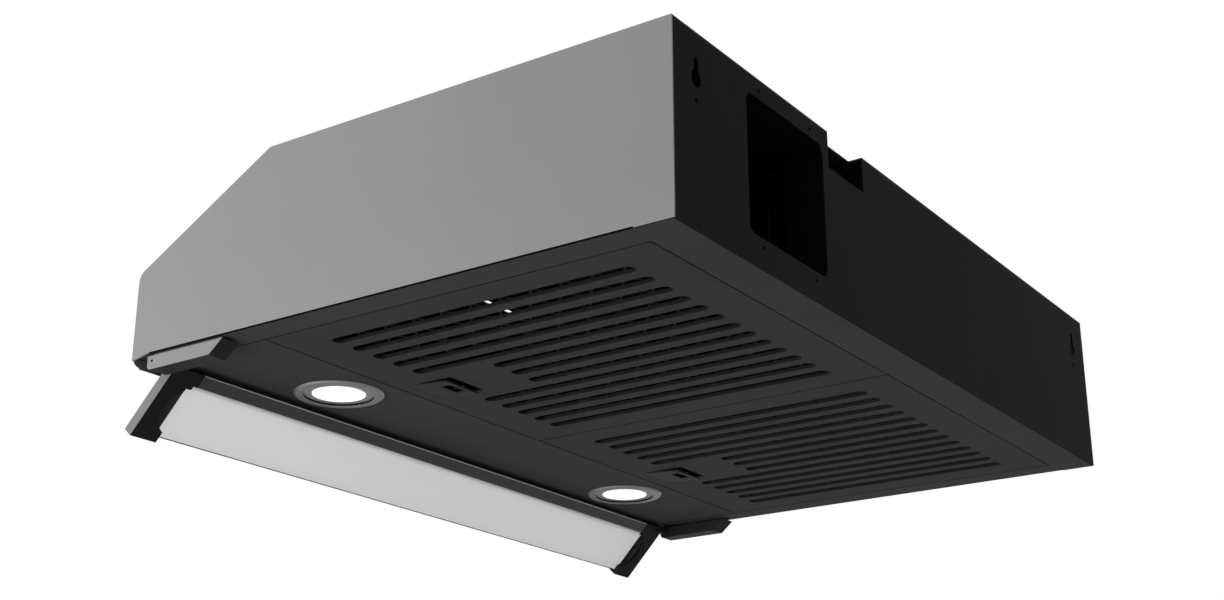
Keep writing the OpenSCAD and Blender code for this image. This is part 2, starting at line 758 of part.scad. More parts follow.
// Filter face: a shallow tray with turned-in slots, hooks at the rear and a latch window
module filter_face(side) hung() translate([side * filter_x, 0, 0]) color("#343437") {
    half = filter_w / 2;
    grip_low = filter_front - grip_front;
    difference() {
        union() {
            translate([0, -(filter_rear + filter_front) / 2, 0])
                linear_extrude(sheet_t) square([filter_w, filter_d], center = true);
            // Rim walls
            difference() {
                block([-half, -filter_front, 0], [half, -filter_rear, filter_h]);
                block([-half + sheet_t, -filter_front + sheet_t, -over],
                    [half - sheet_t, -filter_rear - sheet_t, filter_h + over]);
            }
            // Turned-in slot edges
            for (i = [0:slot_n - 1]) translate([slot_x(i), -filter_mid + slot_shift(i) / 2, 0])
                linear_extrude(slot_collar)
                    stadium(slot_w + 2 * sheet_t, slot_len - slot_shift(i) + 2 * sheet_t);
            // Hooks over the lip of the rear rail
            for (s = [-1, 1]) translate([s * (half - tab_side) - tab_w / 2, -filter_rear - sheet_t,
                lip_up + run_gap])
                cube([tab_w, sheet_t + seam + tab_reach, sheet_t]);
        }
        for (i = [0:slot_n - 1]) translate([slot_x(i), -filter_mid + slot_shift(i) / 2, -over])
            linear_extrude(slot_collar + 2 * over) stadium(slot_w, slot_len - slot_shift(i));
        // Window for the latch, and the gap in the front rim for its tongue
        block([-grip_w / 2 - fit, -grip_low - run_gap, -over],
            [grip_w / 2 + fit, -grip_low + grip_len + latch_travel / 2, sheet_t + over]);
        block([-tongue_w / 2 - run_gap, -filter_front - over, lip_up],
            [tongue_w / 2 + run_gap, -filter_front + over, lip_up + tongue_t + 2 * run_gap]);
    }
}

module left_filter_face() filter_face(-1);
module right_filter_face() filter_face(1);

// Grease mesh: expanded metal folded down at its edges, which stands inside the tray
module filter_mesh(side) hung() translate([side * filter_x, 0, 0]) color("#6e6e72") {
    mid = (filter_rear + filter_front) / 2;
    edge = sheet_t + fit;
    span_x = filter_w - 2 * edge;
    span_y = filter_d - 2 * edge;
    step_x = (span_x - 2 * mesh_border) / mesh_across_n;
    step_y = (span_y - 2 * mesh_border) / mesh_along_n;
    clear_y = -filter_front + grip_front + grip_len + 2 * latch_travel;
    clear_x = grip_w / 2 + 2 * guide_w + fit;
    difference() {
        translate([0, -mid, 0]) {
            translate([0, 0, mesh_low]) linear_extrude(mesh_t) difference() {
                square([span_x, span_y], center = true);
                intersection() {
                    square([span_x - 2 * mesh_border, span_y - 2 * mesh_border], center = true);
                    for (i = [0:mesh_across_n], j = [0:mesh_along_n], k = [0:1])
                        if (i + k <= mesh_across_n && j + k <= mesh_along_n || k == 0)
                            translate([(i + k / 2 - mesh_across_n / 2) * step_x,
                                (j + k / 2 - mesh_along_n / 2) * step_y])
                                diamond(step_x / 2 - mesh_strand, step_y / 2 - mesh_strand);
                }
            }
            translate([0, 0, edge]) linear_extrude(mesh_low - edge + mesh_t) difference() {
                square([span_x, span_y], center = true);
                square([span_x - 2 * mesh_t, span_y - 2 * mesh_t], center = true);
            }
        }
        block([-clear_x, -filter_front, 0], [clear_x, clear_y, filter_h]);
    }
}

module left_filter_mesh() filter_mesh(-1);
module right_filter_mesh() filter_mesh(1);

// Sliding latch: an inclined finger grip below the tray, a neck, and a tongue over the ledge
module filter_latch(side) hung() translate([side * filter_x, -filter_front + grip_front, 0])
    color("#2a2a2c") {
        half = grip_w / 2;
        slope = grip_drop / grip_len;
        tongue_low = lip_up + run_gap;
        difference() {
            across(-half, half) polygon([
                [0, sheet_t], [neck_len, sheet_t], [neck_len, sheet_t - slope * neck_len - run_gap],
                [grip_len, -grip_drop + grip_t], [grip_len, -grip_drop], [0, 0]]);
            block([-grip_hole_w / 2, grip_len - grip_hole_end - grip_hole_len, -grip_drop - over],
                [grip_hole_w / 2, grip_len - grip_hole_end, sheet_t + over]);
        }
        block([-tongue_w / 2, 0, sheet_t], [tongue_w / 2, neck_len, tongue_low + tongue_t]);
        block([-tongue_w / 2, -grip_front - tongue_reach, tongue_low], [tongue_w / 2, neck_len,
            tongue_low + tongue_t]);
        // Wings that run in the guide
        block([-half - guide_w + run_gap, 0, sheet_t + run_gap], [half + guide_w - run_gap, neck_len,
            sheet_t + guide_h / 2]);
    }

module left_filter_latch() filter_latch(-1);
module right_filter_latch() filter_latch(1);

// Guide channels each side of the latch, with a wall at the rear for the spring
module latch_guide(side) hung() translate([side * filter_x, -filter_front + grip_front, sheet_t])
    color("#8a8a8c") {
    half = grip_w / 2;
    top = guide_h;
    stop = neck_len + latch_travel + spring_len;
    for (s = [-1, 1]) sided(s) {
        block([half + guide_w, -run_gap, 0], [half + 2 * guide_w, stop, top]);
        block([half + run_gap, -run_gap, guide_h / 2 + run_gap], [half + guide_w,
            neck_len + latch_travel, top]);
    }
    block([-half - guide_w, stop - sheet_t, top - sheet_t - guide_h / 4], [half + guide_w, stop, top]);
}

module left_latch_guide() latch_guide(-1);
module right_latch_guide() latch_guide(1);

// One coil spring as an unbroken round wire, swept along a helix about Y
function coil_ring(t, r, len) = let (a = 360 * spring_turns * t)
    [for (j = [0:spring_side_n - 1]) let (b = 360 * j / spring_side_n)
        [(r + spring_wire_r * cos(b)) * cos(a), t * len + spring_wire_r * (1 + sin(b)),
            (r + spring_wire_r * cos(b)) * sin(a)]];

module coil(r, len) {
    n = spring_turns * spring_ring_n;
    m = spring_side_n;
    points = [for (i = [0:n]) each coil_ring(i / n, r, len - 2 * spring_wire_r)];
    faces = concat(
        [[for (j = [0:m - 1]) j]],
        [for (i = [0:n - 1], j = [0:m - 1]) [i * m + j, (i + 1) * m + j, i * m + (j + 1) % m]],
        [for (i = [0:n - 1], j = [0:m - 1]) [i * m + (j + 1) % m, (i + 1) * m + j,
            (i + 1) * m + (j + 1) % m]],
        [[for (j = [m - 1:-1:0]) n * m + j]]);
    polyhedron(points, faces);
}

// Return springs between the latch wings and the rear wall of the guide
module latch_spring(side) hung() color("silver") for (s = [-1, 1])
    translate([side * filter_x + s * (grip_w / 2 + guide_w / 2 - spring_side),
        -filter_front + grip_front + neck_len + fit, sheet_t + guide_h - sheet_t - guide_h / 8])
        coil(spring_r, latch_travel + spring_len - sheet_t - 2 * fit);

module left_latch_spring() latch_spring(-1);
module right_latch_spring() latch_spring(1);

// Spiral of the scroll about the impeller's axis, grown outwards by g
function scroll_radius(a) = scroll_r + (scroll_end - scroll_r) * (a - scroll_cut_a) / (360 - scroll_cut_a);
function spiral(g) = concat([[0, 0]],
    [for (i = [0:scroll_step_n]) let (a = scroll_cut_a + (360 - scroll_cut_a) * i / scroll_step_n)
        [(scroll_radius(a) + g) * cos(a), (scroll_radius(a) + g) * sin(a)]]);

// Plan of the scroll and its outlet duct, grown outwards by g, about the impeller's axis
module scroll_plan(g) {
    circle(scroll_r + g, $fn = 2 * $fn);
    polygon(spiral(g));
    duct = outlet_x - blower_x - outlet_w / 2;
    translate([duct - g, 0]) square([outlet_w + 2 * g, blower_y - outlet_back - fit]);
}

function blower_posts() = [for (p = post_shares)
    [blower_x + p[0] * scroll_r, -blower_y + p[1] * scroll_r]];

// Scroll housing with its bell-mouthed inlet and the flange against the rear panel
module blower_housing() hung() color("#3d3d40") translate([blower_x, -blower_y, 0]) {
    difference() {
        translate([0, 0, scroll_low]) linear_extrude(scroll_top - scroll_low) scroll_plan(scroll_t);
        translate([0, 0, outlet_low]) linear_extrude(outlet_h + over) scroll_plan(0);
        translate([outlet_x - blower_x - outlet_w / 2, blower_y - outlet_back - over, outlet_low])
            cube([outlet_w, 2 * over, outlet_h]);
        translate([0, 0, scroll_low - over])
            cylinder(r = inlet_r, h = scroll_t + 2 * over, $fn = 2 * $fn);
    }
    translate([0, 0, scroll_low]) rotate_extrude($fn = 2 * $fn) difference() {
        translate([inlet_r - bell_t, 0]) square([bell_t + bell_h, bell_h + scroll_t]);
        translate([inlet_r + bell_h, bell_h + scroll_t]) circle(bell_h);
        translate([inlet_r + bell_h, scroll_t]) square([bell_t + over, bell_h + over]);
        translate([inlet_r - bell_t - over, -over])
            square([bell_t + over, bell_h + scroll_t - bell_t + over]);
    }
    difference() {
        translate([outlet_x - blower_x - outlet_w / 2 - outlet_flange,
            blower_y - outlet_back - fit - flange_t,
            outlet_low - outlet_flange])
            cube([outlet_w + 2 * outlet_flange, flange_t, outlet_h + 2 * outlet_flange]);
        translate([outlet_x - blower_x - outlet_w / 2, blower_y - outlet_back - flange_t - over,
            outlet_low])
            cube([outlet_w, flange_t + 2 * over, outlet_h]);
    }
}

// Lid of the scroll, with the motor's holes and four posts up to the canopy
module blower_cover() hung() color("#3a3a3d") {
    translate([blower_x, -blower_y, scroll_top + fit]) linear_extrude(scroll_t) difference() {
        intersection() {
            scroll_plan(scroll_t);
            square([4 * scroll_end, 2 * (blower_y - outlet_back - fit - flange_t - fit)], center = true);
        }
        for (i = [0:stud_n - 1]) rotate(360 * i / stud_n) translate([stud_ring_r, 0])
            circle(grommet_neck_r, $fn = fine_fn);
        circle(cover_hole_r, $fn = fine_fn);
    }
    for (p = blower_posts()) translate([p[0], p[1], scroll_top + fit]) difference() {
        cylinder(r = post_r, h = hood_h - sheet_t - scroll_top - 2 * fit, $fn = fine_fn);
        translate([0, 0, scroll_t]) cylinder(r = post_hole_r, h = hood_h - scroll_top, $fn = fine_fn);
    }
}

// Screws from the top of the canopy into the blower's posts
module blower_screws() hung() color("silver") for (p = blower_posts()) translate([p[0], p[1], hood_h]) {
    cylinder(r1 = screw_head_r, r2 = screw_head_r * screw_crown_share, h = screw_head_h, $fn = fine_fn);
    translate([0, 0, -screw_bite]) cylinder(r = screw_r, h = screw_bite, $fn = fine_fn);
}

// Moulded finger guard over the inlet: rings and spokes
module inlet_guard() hung() color("#242426") translate([blower_x, -blower_y, scroll_low - guard_t - fit])
    linear_extrude(guard_t) {
        step = (guard_rim_r - guard_hub_r) / guard_ring_n;
        for (i = [0:guard_ring_n]) difference() {
            circle(guard_hub_r + i * step, $fn = 2 * $fn);
            if (i > 0) circle(guard_hub_r + i * step - guard_rib, $fn = 2 * $fn);
        }
        for (i = [0:guard_spoke_n - 1]) rotate(360 * i / guard_spoke_n)
            translate([guard_hub_r - guard_rib, -guard_rib / 2])
                square([guard_rim_r - guard_hub_r + guard_rib / 2, guard_rib]);
    }

// Cross-section of one forward-curved blade: a stretch of a round tube's wall
module blade() {
    curl = blade_depth * curl_share;
    mid = impeller_r - blade_depth / 2 - blade_t;
    translate([mid, 0]) intersection() {
        translate([0, -curl]) difference() {
            circle(curl + blade_t / 2, $fn = 2 * fine_fn);
            circle(curl - blade_t / 2, $fn = 2 * fine_fn);
        }
        translate([-blade_depth / 2, -curl * curl_cut_share]) square([blade_depth, 2 * curl]);
    }
}

// Back plate of the drum impeller, dished round the motor
module impeller() hung() color("#56565a") translate([blower_x, -blower_y, 0])
    rotate_extrude($fn = 2 * $fn) polygon([
        [shaft_r, dish_low], [dish_r + plate_t, dish_low], [dish_r + plate_t, blade_top - plate_t],
        [impeller_r, blade_top - plate_t], [impeller_r, blade_top], [dish_r, blade_top],
        [dish_r, dish_low + plate_t], [shaft_r, dish_low + plate_t]]);

// Cast hub, riveted under the back plate
module impeller_hub() hung() color("#8a8a8e") translate([blower_x, -blower_y, dish_low - hub_h])
    difference() {
        cylinder(r = hub_r, h = hub_h);
        translate([0, 0, -over]) cylinder(r = shaft_r, h = hub_h + 2 * over, $fn = fine_fn);
    }

// Forward-curved blades between the end ring and the back plate
module impeller_blades() hung() color("#56565a") translate([blower_x, -blower_y, ring_low + ring_t])
    linear_extrude(blade_top - plate_t - ring_low - ring_t)
        for (i = [0:blade_n - 1]) rotate(360 * i / blade_n) blade();

// End ring that ties the blades at the inlet
module impeller_ring() hung() color("#56565a") translate([blower_x, -blower_y, ring_low]) difference() {
    cylinder(r = impeller_r, h = ring_t, $fn = 2 * $fn);
    translate([0, 0, -over]) cylinder(r = impeller_r - blade_depth - blade_t, h = ring_t + 2 * over,
        $fn = 2 * $fn);
}

// Shaft that carries the impeller
module motor_shaft() hung() color("silver") translate([blower_x, -blower_y, shaft_low])
    cylinder(r = shaft_r, h = scroll_top - shaft_low - fit, $fn = fine_fn);

// Hexagonal nut under the impeller's hub
module impeller_nut() hung() color("goldenrod") translate([blower_x, -blower_y, dish_low - hub_h - nut_h])
    difference() {
        cylinder(r = nut_r, h = nut_h - fit, $fn = 6);
        translate([0, 0, -over]) cylinder(r = shaft_r, h = nut_h + 2 * over, $fn = fine_fn);
    }

// Motor with vented end bells, hung from the scroll's cover on three studs
module motor_can() hung() color("#77777b") translate([blower_x, -blower_y, 0]) {
    low = scroll_top - motor_h;
    band = motor_h / 4;
    difference() {
        union() {
            translate([0, 0, low + band]) cylinder(r = motor_r, h = motor_h - 2 * band);
            translate([0, 0, low]) cylinder(r1 = motor_r * motor_low_share,
                r2 = motor_r * motor_rim_share, h = band);
            translate([0, 0, scroll_top - band])
                cylinder(r = motor_r * motor_rim_share, h = band - grommet_t);
            for (i = [0:stud_n - 1]) rotate(360 * i / stud_n)
                translate([stud_ring_r, 0, scroll_top - band])
                cylinder(r = stud_r, h = band + scroll_t + 2 * grommet_t + motor_nut_h, $fn = fine_fn);
        }
        translate([0, 0, low - over]) cylinder(r = shaft_r + 3 * shaft_fit, h = motor_h + 2 * over,
            $fn = fine_fn);
        translate([0, 0, low - over]) cylinder(r = bearing_r, h = bearing_h + over, $fn = fine_fn);
        translate([0, 0, scroll_top - grommet_t - bearing_h])
            cylinder(r = bearing_r, h = bearing_h + over, $fn = fine_fn);
        for (i = [0:motor_vent_n - 1]) rotate(360 * (i + 1 / 2) / motor_vent_n)
            translate([motor_r * motor_vent_share, -stud_r, low - over])
                cube([motor_r / 6, 2 * stud_r, band + over]);
    }
}

// Two sintered bushes that the shaft turns in
module motor_bearings() hung() color("#b08d57") translate([blower_x, -blower_y, 0])
    for (z = [scroll_top - motor_h, scroll_top - grommet_t - bearing_h])
        translate([0, 0, z]) difference() {
        cylinder(r = bearing_r, h = bearing_h, $fn = fine_fn);
        translate([0, 0, -over]) cylinder(r = shaft_r + shaft_fit, h = bearing_h + 2 * over,
            $fn = fine_fn);
    }

// Rubber grommets between motor and cover
module motor_grommets() hung() color("#151515") translate([blower_x, -blower_y, 0])
    for (i = [0:stud_n - 1]) rotate(360 * i / stud_n) translate([stud_ring_r, 0, 0]) difference() {
        union() {
            translate([0, 0, scroll_top - grommet_t])
                cylinder(r = grommet_r, h = grommet_t + fit, $fn = fine_fn);
            translate([0, 0, scroll_top])
                cylinder(r = grommet_neck_r, h = scroll_t + 2 * fit, $fn = fine_fn);
            translate([0, 0, scroll_top + scroll_t + fit])
                cylinder(r = grommet_r, h = grommet_t, $fn = fine_fn);
        }
        translate([0, 0, scroll_top - grommet_t - over])
            cylinder(r = stud_r, h = scroll_t + 2 * grommet_t + 2 * over + fit, $fn = fine_fn);
    }

// Nuts on the motor's studs
module motor_nuts() hung() color("silver")
    translate([blower_x, -blower_y, scroll_top + scroll_t + fit + grommet_t])
    for (i = [0:stud_n - 1]) rotate(360 * i / stud_n) translate([stud_ring_r, 0, 0]) difference() {
        cylinder(r = motor_nut_r, h = motor_nut_h, $fn = 6);
        translate([0, 0, -over]) cylinder(r = stud_r, h = motor_nut_h + 2 * over, $fn = fine_fn);
    }

// Moulded bezel that clips into the slope, with guides for the push buttons
module control_bezel() hung() on_slope(bezel_drop + bezel_h / 2) color("#1b1b1d") {
    inner = -bezel_body_h;
    difference() {
        union() {
            translate([0, 0, fit / 2]) linear_extrude(bezel_t) soft_rect(bezel_w, bezel_h, bezel_r);
            translate([0, 0, inner]) linear_extrude(bezel_body_h + bezel_t)
                soft_rect(bezel_w - 2 * bezel_lip - 2 * fit, bezel_h - 2 * bezel_lip - 2 * fit, bezel_r);
        }
        translate([0, 0, inner - over]) linear_extrude(bezel_body_h + over - bezel_wall)
            soft_rect(bezel_w - 2 * bezel_lip - 2 * bezel_wall, bezel_h - 2 * bezel_lip - 2 * bezel_wall,
                bezel_r - bezel_wall);
        for (x = button_seats) translate([x, 0, -over - bezel_wall])
            cylinder(d = button_d + 2 * button_fit, h = bezel_t + bezel_wall + 3 * over);
    }
}

// Circuit board behind the bezel with one switch under each button
module control_board() hung() on_slope(bezel_drop + bezel_h / 2) color("#2f5d3a") {
    translate([0, 0, -bezel_body_h + fit]) {
        linear_extrude(board_t) soft_rect(bezel_w - 2 * bezel_lip - 2 * bezel_wall - 4 * fit,
            bezel_h - 2 * bezel_lip - 2 * bezel_wall - 4 * fit, bezel_r - bezel_wall);
        for (x = button_seats) translate([x - switch_w / 2, -switch_w / 2, 0])
            cube([switch_w, switch_w, board_t + switch_h - button_travel]);
    }
}

// Push button: a crowned cap, a skirt under the bezel and a stem over its switch
module button(i, tint) hung() on_slope(bezel_drop + bezel_h / 2) translate([button_seats[i], 0, 0])
    color(tint) {
    cap_low = -bezel_wall - run_gap;
    top = bezel_t + button_proud;
    translate([0, 0, cap_low - edge_soft]) cylinder(d = button_d, h = top - cap_low);
    translate([0, 0, top - edge_soft]) cylinder(r1 = button_d / 2, r2 = button_d / 2 - edge_soft,
        h = edge_soft);
    translate([0, 0, cap_low - button_skirt_t]) cylinder(d = button_d + button_skirt, h = button_skirt_t);
    stem_low = -bezel_body_h + fit + board_t + switch_h - button_travel + run_gap + button_travel;
    translate([0, 0, stem_low]) cylinder(r = stem_r, h = cap_low - stem_low, $fn = fine_fn);
}

module button_light() button(0, "#d8d8da");
module button_off() button(1, "#8e8e92");
module button_low() button(2, "#8e8e92");
module button_medium() button(3, "#8e8e92");
module button_high() button(4, "#8e8e92");

// Moulded box under the top that holds the supply terminals and the motor's capacitor
module power_box() hung() color("#29292b") translate([-box_x, -box_y, 0]) {
    top = hood_h - sheet_t - fit;
    low = top - box_h;
    difference() {
        translate([0, 0, low]) linear_extrude(box_h) soft_rect(box_w, box_d, boss_r);
        translate([0, 0, low - over]) linear_extrude(box_h + over - box_wall)
            soft_rect(box_w - 2 * box_wall, box_d - 2 * box_wall, boss_r - box_wall);
        translate([box_w / 2 - box_wall - over, box_y - term_y, low + box_h / 2]) rotate([0, 90, 0])
            cylinder(r = gland_thread_r, h = box_wall + 2 * over, $fn = fine_fn);
    }
    for (a = [-1, 1], b = [-1, 1]) translate([a * (box_w / 2 - boss_in), b * (box_d / 2 - boss_in), low])
        cylinder(r = boss_r, h = box_h - box_wall / 2, $fn = fine_fn);
}

// Screwed lid under the power box
module power_box_lid() hung() color("#303032") translate([-box_x, -box_y, 0]) {
    low = hood_h - sheet_t - fit - box_h;
    translate([0, 0, low - box_lid_t - fit / 2])
        linear_extrude(box_lid_t) soft_rect(box_w, box_d, boss_r);
    for (a = [-1, 1], b = [-1, 1])
        translate([a * (box_w / 2 - boss_in), b * (box_d / 2 - boss_in),
            low - box_lid_t - fit / 2 - screw_head_h])
            cylinder(r = boss_r * screw_crown_share, h = screw_head_h, $fn = fine_fn);
}

// Motor capacitor inside the power box
module capacitor() hung() color("#c9c9cc")
    translate([-box_x - cap_len / 2, -cap_y, hood_h - sheet_t - box_wall - cap_r - 2 * fit])
        rotate([0, 90, 0]) {
            cylinder(r = cap_r, h = cap_len);
            translate([0, 0, -cap_end]) cylinder(r = cap_end_r, h = cap_len + 2 * cap_end);
        }

// Terminal block inside the power box, with a screw over each of its three ways
module terminal_block() hung() color("#e9e6dc") translate([-box_x + box_w / 4, -term_y, 0]) {
    top = hood_h - sheet_t - box_wall - 2 * fit;
    difference() {
        translate([-term_w / 2, -term_d / 2, top - term_h]) cube([term_w, term_d, term_h]);
        for (i = [-1:1]) translate([i * term_w / 3, 0, top - term_h - over])
            cylinder(r = term_hole_r, h = over + term_h / 2);
        for (i = [-1:1]) translate([i * term_w / 3, -term_d / 2 - over, top - term_h / 2])
            rotate([-90, 0, 0])
            cylinder(r = wire_r, h = term_d + 2 * over, $fn = fine_fn);
    }
}

// Gland where the supply cable would enter the power box
module cable_gland() hung() color("#111113")
    translate([-box_x + box_w / 2 + fit / 2, -term_y, hood_h - sheet_t - fit - box_h / 2])
        rotate([0, 90, 0]) difference() {
            union() {
                cylinder(r = gland_r, h = gland_nut_h, $fn = 6);
                cylinder(r = gland_neck_r, h = gland_len);
                translate([0, 0, -box_wall - fit])
                    cylinder(r = gland_thread_r - fit / 2, h = box_wall + fit, $fn = fine_fn);
            }
            translate([0, 0, -box_wall - over])
                cylinder(r = gland_hole_r, h = gland_len + box_wall + 2 * over, $fn = fine_fn);
        }

// Leads from the two lamps to the power box, clipped along the light panel's ledge and the end panel
module lamp_leads() hung() color("#e8e8e8") {
    z = lamp_body_h + wire_r + fit;
    run_y = -panel_rear - flange_w;
    box_low = hood_h - sheet_t - box_h - box_lid_t - screw_head_h;
    side_x = -inner_w / 2 + flange_w + wire_lift;
    lead([[lamp_x, -lamp_y, z], [lamp_x, run_y, z], [side_x, run_y, z],
        [side_x, -box_y, z], [side_x, -box_y, box_low + box_h / 2],
        [-box_x - box_w / 2 - wire_r - fit / 2, -box_y, box_low + box_h / 2]], wire_r);
    lead([[-lamp_x, -lamp_y, z], [-lamp_x, run_y, z]], wire_r);
}

// Lead from the motor to the power box, under the top
module motor_lead() hung() color("#e8e8e8") {
    z = hood_h - sheet_t - wire_r - fit;
    x = blower_x - bearing_r + wire_r;
    lead([[x, -blower_y, scroll_top - grommet_t + wire_r + fit], [x, -blower_y, z],
        [x, -cap_y, z], [-box_x + box_w / 2 + wire_r + fit, -cap_y, z]], wire_r);
}

// Lead from the control board to the power box, under the slope and the top
module control_lead() hung() color("#e8e8e8") {
    z = hood_h - sheet_t - wire_r - fit;
    rise_y = -top_d + 2 * wire_lift;
    box_x_end = -box_x + box_w / 4;
    box_y_end = -box_rear - box_d - wire_r - fit;
    lead([[-control_lead_x, -board_y, board_z], [-control_lead_x, rise_y, board_z],
        [-control_lead_x, rise_y, z], [box_x_end, rise_y, z], [box_x_end, box_y_end, z]], wire_r);
}

canopy_shell();
left_end_panel();
right_end_panel();
back_panel();
underside_frame();
light_panel();
left_lamp_ring();
right_lamp_ring();
left_lamp_lens();
right_lamp_lens();
left_lamp_body();
right_lamp_body();
left_cheek();
right_cheek();
visor_pins();
cheek_screws();
visor_rail();
visor_glass();
left_visor_arm();
right_visor_arm();
left_filter_face();
right_filter_face();
left_filter_mesh();
right_filter_mesh();
left_filter_latch();
right_filter_latch();
left_latch_guide();
right_latch_guide();
left_latch_spring();
right_latch_spring();
blower_housing();
blower_cover();
inlet_guard();
impeller();
impeller_hub();
impeller_blades();
impeller_ring();
motor_shaft();
impeller_nut();
motor_can();
motor_bearings();
motor_grommets();
motor_nuts();
blower_screws();
control_bezel();
control_board();
button_light();
button_off();
button_low();
button_medium();
button_high();
power_box();
power_box_lid();
capacitor();
terminal_block();
cable_gland();
lamp_leads();
motor_lead();
control_lead();
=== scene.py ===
import bmesh
import bpy
import json
import math
from mathutils import Matrix, Vector

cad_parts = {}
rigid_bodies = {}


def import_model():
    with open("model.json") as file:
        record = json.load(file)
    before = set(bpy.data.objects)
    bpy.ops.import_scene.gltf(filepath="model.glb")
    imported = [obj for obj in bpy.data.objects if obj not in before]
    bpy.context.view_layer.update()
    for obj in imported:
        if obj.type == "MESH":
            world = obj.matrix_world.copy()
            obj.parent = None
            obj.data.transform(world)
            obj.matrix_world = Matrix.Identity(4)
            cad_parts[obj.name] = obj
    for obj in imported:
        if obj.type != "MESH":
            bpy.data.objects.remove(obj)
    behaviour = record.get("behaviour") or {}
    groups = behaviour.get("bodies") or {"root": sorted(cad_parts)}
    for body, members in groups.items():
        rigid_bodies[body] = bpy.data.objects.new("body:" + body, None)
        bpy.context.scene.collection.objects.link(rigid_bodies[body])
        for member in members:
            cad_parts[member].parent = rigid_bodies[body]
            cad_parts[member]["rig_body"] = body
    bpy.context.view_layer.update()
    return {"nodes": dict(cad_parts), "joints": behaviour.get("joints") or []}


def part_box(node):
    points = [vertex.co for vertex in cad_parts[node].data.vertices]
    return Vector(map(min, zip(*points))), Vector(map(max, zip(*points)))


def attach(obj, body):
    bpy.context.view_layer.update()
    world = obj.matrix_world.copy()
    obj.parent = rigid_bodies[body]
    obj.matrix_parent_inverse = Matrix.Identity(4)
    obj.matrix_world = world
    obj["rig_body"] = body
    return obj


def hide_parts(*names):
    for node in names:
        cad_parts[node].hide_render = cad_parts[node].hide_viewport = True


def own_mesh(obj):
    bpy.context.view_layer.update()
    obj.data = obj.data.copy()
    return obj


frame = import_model()
nodes = frame["nodes"]
joints = {joint["name"]: joint for joint in frame["joints"]}
mm = 0.001
sides = {"left": -1, "right": 1}


def boxCorners(name):
    # a node's lowest and highest corner at rest
    return [Vector(corner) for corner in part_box(name)]


underside = boxCorners("underside_frame")[0].z
lampCentre = {side: sum(boxCorners(side + "_lamp_lens"), Vector()) / 2 for side in sides}
print("frame loaded:", len(nodes), "nodes")


def toLinear(hexCode):
    # hex colour to the linear values that Blender's sockets take
    parts = [int(hexCode[i:i + 2], 16) / 255 for i in (1, 3, 5)]
    return [p / 12.92 if p <= 0.04045 else ((p + 0.055) / 1.055) ** 2.4 for p in parts] + [1.0]


def addNode(tree, kind, settings=None, links=None):
    # one node, its settings by attribute or socket name, and what feeds its sockets by name or number
    node = tree.nodes.new(kind)
    for key, value in (settings or {}).items():
        if key == "ramp":
            for stop, (place, hexCode) in zip(node.color_ramp.elements, value):
                stop.position = place
                stop.color = toLinear(hexCode)
        elif key in node.inputs:
            node.inputs[key].default_value = value
        else:
            setattr(node, key, value)
    for socket, source in (links or {}).items():
        tree.links.new(source, node.inputs[socket])
    return node


def pointed(place, aim):
    # stands level at a place and looks at the aim
    turn = (Vector(aim) - Vector(place)).to_track_quat("-Z", "Y")
    return Matrix.Translation(place) @ turn.to_matrix().to_4x4()


# camera, in the photo's place: place, aim and nearest view in metres, sensor in mm, roll in degrees
shot = {"place": (0.995373, 0.436685, -0.442182), "aim": (0.064355, -0.199003, -0.030955), "roll": -0.0993,
        "focalPixels": 1763.85, "frameWidth": 1224, "sensorWidth": 36, "clipStart": 0.01}
cameraData = bpy.data.cameras.new("photoCamera")
cameraData.sensor_fit = "HORIZONTAL"
cameraData.sensor_width = shot["sensorWidth"]
cameraData.lens = shot["sensorWidth"] * shot["focalPixels"] / shot["frameWidth"]
cameraData.clip_start = shot["clipStart"]
camera = bpy.data.objects.new("photoCamera", cameraData)
roll = Matrix.Rotation(math.radians(shot["roll"]), 4, "Z")
camera.matrix_world = pointed(shot["place"], shot["aim"]) @ roll
bpy.context.collection.objects.link(camera)
bpy.context.scene.camera = camera
bpy.context.scene.view_settings.view_transform = "Standard"
print("camera set")


def newMaterial(name):
    # an empty node material, and its tree
    material = bpy.data.materials.new(name)
    material.use_nodes = True
    material.node_tree.nodes.clear()
    return material, material.node_tree


# the patterns' sizes in mm, some of them coarser than the real ones so that they show
coatLook = {"peel": 1.6, "peelHeight": 0.012, "cloud": 90}
mouldLook = {"grain": 0.9, "grainHeight": 0.02, "shade": 25}
lineLook = {"drawn": (0.6, 40, 40), "height": 0.006}
turnLook = {"groove": 0.9, "height": 0.01}
glassLook = {"mottle": 3, "haze": 6}


